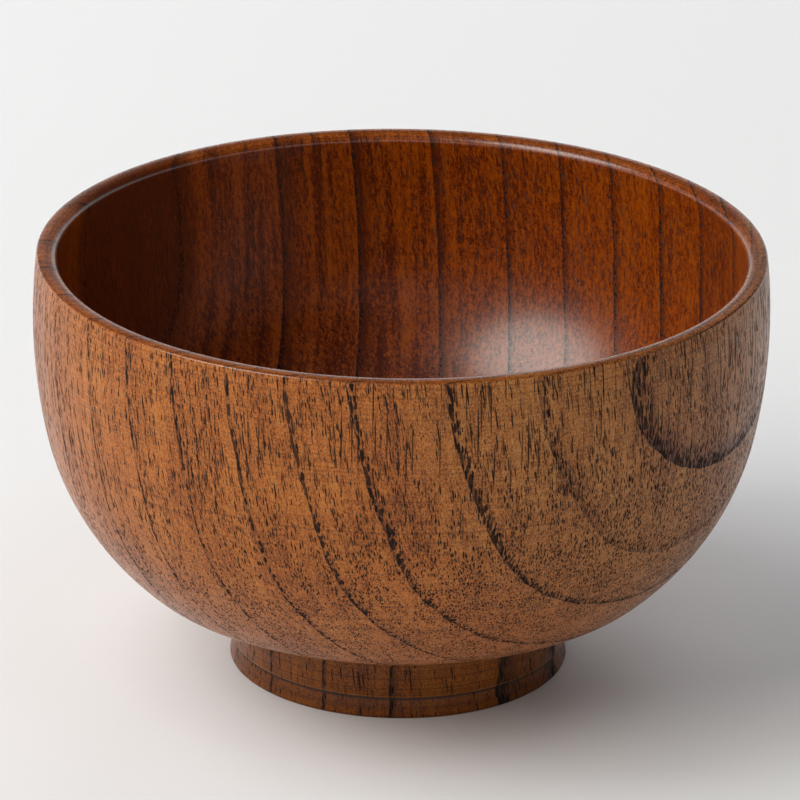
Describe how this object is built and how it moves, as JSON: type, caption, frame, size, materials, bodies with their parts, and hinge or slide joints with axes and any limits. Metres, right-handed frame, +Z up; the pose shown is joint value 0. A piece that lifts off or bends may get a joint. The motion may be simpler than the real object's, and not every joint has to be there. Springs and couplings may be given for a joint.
{
  "type": "wooden soup bowl",
  "caption": "Small open soup bowl turned from one block of open-grained wood, with an upright wall, a rounded belly and a raised foot ring, finished in thin wiped lacquer.",
  "frame": {"origin": "on the bowl's axis, in the plane of the resting ring", "axes": "+Z up along the axis of turning, out of the open mouth; +X to the right and -Y towards the viewer in the picture"},
  "size_m": [0.1154, 0.1154, 0.0683],
  "materials": {
    "bare_wood": "bare turned wood, worn smooth, on the resting ring",
    "wiped_lacquer": "open-grained wood under thin clear brown lacquer, glossy, with fine turning marks",
    "recess_lacquer": "the same lacquer on the recess under the foot, a little darker and less polished"
  },
  "bodies": {
    "root": {"turned_body": "bare_wood", "lacquer_coat": "wiped_lacquer", "recess_coat": "recess_lacquer"}
  },
  "joints": []
}
